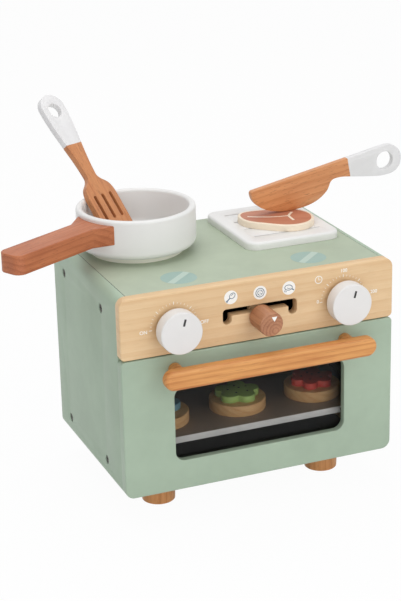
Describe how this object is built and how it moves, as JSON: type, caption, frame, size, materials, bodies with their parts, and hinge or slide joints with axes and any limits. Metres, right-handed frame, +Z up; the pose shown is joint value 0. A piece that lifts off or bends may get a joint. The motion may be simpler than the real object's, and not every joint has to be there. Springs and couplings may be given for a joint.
{
  "type": "toy oven",
  "caption": "Painted wooden play oven on turned feet with a drop-down window door, dials, a food selector, a hob, a pan with a spatula, a grill, a steak with a knife and biscuits on a tray.",
  "frame": {"origin": "on the table under the middle of the cabinet, halfway between the face of the fascia and the back edges of the boards", "axes": "+X to the right as seen from the front, +Y to the back, +Z up"},
  "size_m": [0.4028, 0.2474, 0.3303],
  "materials": {
    "green_paint": "matt grey-green paint on wood",
    "light_green_paint": "matt pale green paint on wood",
    "dark_paint": "matt dark grey paint on wood",
    "white_paint": "satin white paint on wood",
    "cream_paint": "satin cream paint with a printed top",
    "pale_wood": "clear matt varnish",
    "warm_wood": "clear satin varnish",
    "brown_wood": "clear satin varnish",
    "dark_wood": "clear satin varnish",
    "green_topping": "satin green paint",
    "red_topping": "satin red paint",
    "blue_topping": "satin blue paint",
    "clear_acrylic": "polished clear sheet",
    "dark_steel": "black oxide",
    "bright_steel": "nickel plate"
  },
  "bodies": {
    "cabinet": {"left_side_panel": "green_paint", "right_side_panel": "green_paint", "top_panel": "light_green_paint", "bottom_panel": "green_paint", "back_panel": "dark_paint", "oven_ceiling": "dark_paint", "left_battens": "pale_wood", "right_battens": "pale_wood", "fascia": "pale_wood", "fascia_dowels": "pale_wood", "left_side_screws": "dark_steel", "right_side_screws": "dark_steel", "front_left_foot": "warm_wood", "front_right_foot": "warm_wood", "back_left_foot": "warm_wood", "back_right_foot": "warm_wood", "foot_screws": "dark_steel", "tray_runners": "pale_wood", "tray": "dark_paint", "door_magnet": "bright_steel", "left_hinge_fixed_leaf": "bright_steel", "right_hinge_fixed_leaf": "bright_steel", "hinge_pins": "bright_steel", "hinge_cabinet_screws": "bright_steel", "burner_disc": "white_paint", "grill_plate": "white_paint"},
    "door": {"door_panel": "green_paint", "window_pane": "clear_acrylic", "pane_screws": "dark_steel", "door_handle": "warm_wood", "handle_standoffs": "warm_wood", "handle_screws": "dark_steel", "door_catch_disc": "bright_steel", "left_hinge_door_leaf": "bright_steel", "right_hinge_door_leaf": "bright_steel", "hinge_door_screws": "bright_steel"},
    "left_dial_group": {"left_dial": "white_paint", "left_dial_spindle": "pale_wood", "left_dial_screw": "dark_steel"},
    "right_dial_group": {"right_dial": "white_paint", "right_dial_spindle": "pale_wood", "right_dial_screw": "dark_steel"},
    "selector": {"selector_knob": "dark_wood", "selector_stem": "pale_wood", "selector_retainer": "pale_wood", "selector_screw": "dark_steel"},
    "pan": {"pan_body": "white_paint", "pan_handle": "brown_wood", "pan_handle_dowels": "pale_wood"},
    "spatula_piece": {"spatula": "brown_wood"},
    "steak_piece": {"steak": "cream_paint"},
    "knife_piece": {"knife": "brown_wood"},
    "left_biscuit_piece": {"left_biscuit": "pale_wood", "left_topping": "blue_topping"},
    "middle_biscuit_piece": {"middle_biscuit": "pale_wood", "middle_topping": "green_topping"},
    "right_biscuit_piece": {"right_biscuit": "pale_wood", "right_topping": "red_topping"}
  },
  "joints": [
    {"name": "door_hinge", "type": "hinge", "parent": "cabinet", "child": "door", "pos_m": [0, -0.0782, 0.028], "axis": [1, 0, 0], "range_deg": [0, 84]},
    {"name": "left_dial_turn", "type": "hinge", "parent": "cabinet", "child": "left_dial_group", "pos_m": [-0.0775, -0.087, 0.1769], "axis": [0, 1, 0], "continuous": true},
    {"name": "right_dial_turn", "type": "hinge", "parent": "cabinet", "child": "right_dial_group", "pos_m": [0.0775, -0.087, 0.1769], "axis": [0, 1, 0], "continuous": true},
    {"name": "selector_lift", "type": "slide", "parent": "cabinet", "child": "selector", "axis": [0, 0, 1], "range_m": [0, 0.0073]},
    {"name": "pan_lift", "type": "slide", "parent": "cabinet", "child": "pan", "axis": [0, 0, 1], "range_m": [0, 0.06]},
    {"name": "spatula_slide", "type": "slide", "parent": "pan", "child": "spatula_piece", "axis": [-0.2738, 0.5741, 0.7716], "range_m": [0, 0.06]},
    {"name": "steak_lift", "type": "slide", "parent": "cabinet", "child": "steak_piece", "axis": [0, 0, 1], "range_m": [0, 0.03]},
    {"name": "knife_lift", "type": "slide", "parent": "steak_piece", "child": "knife_piece", "axis": [0, 0, 1], "range_m": [0, 0.06]},
    {"name": "left_biscuit_lift", "type": "slide", "parent": "cabinet", "child": "left_biscuit_piece", "axis": [0, 0, 1], "range_m": [0, 0.02]},
    {"name": "middle_biscuit_lift", "type": "slide", "parent": "cabinet", "child": "middle_biscuit_piece", "axis": [0, 0, 1], "range_m": [0, 0.02]},
    {"name": "right_biscuit_lift", "type": "slide", "parent": "cabinet", "child": "right_biscuit_piece", "axis": [0, 0, 1], "range_m": [0, 0.02]}
  ]
}
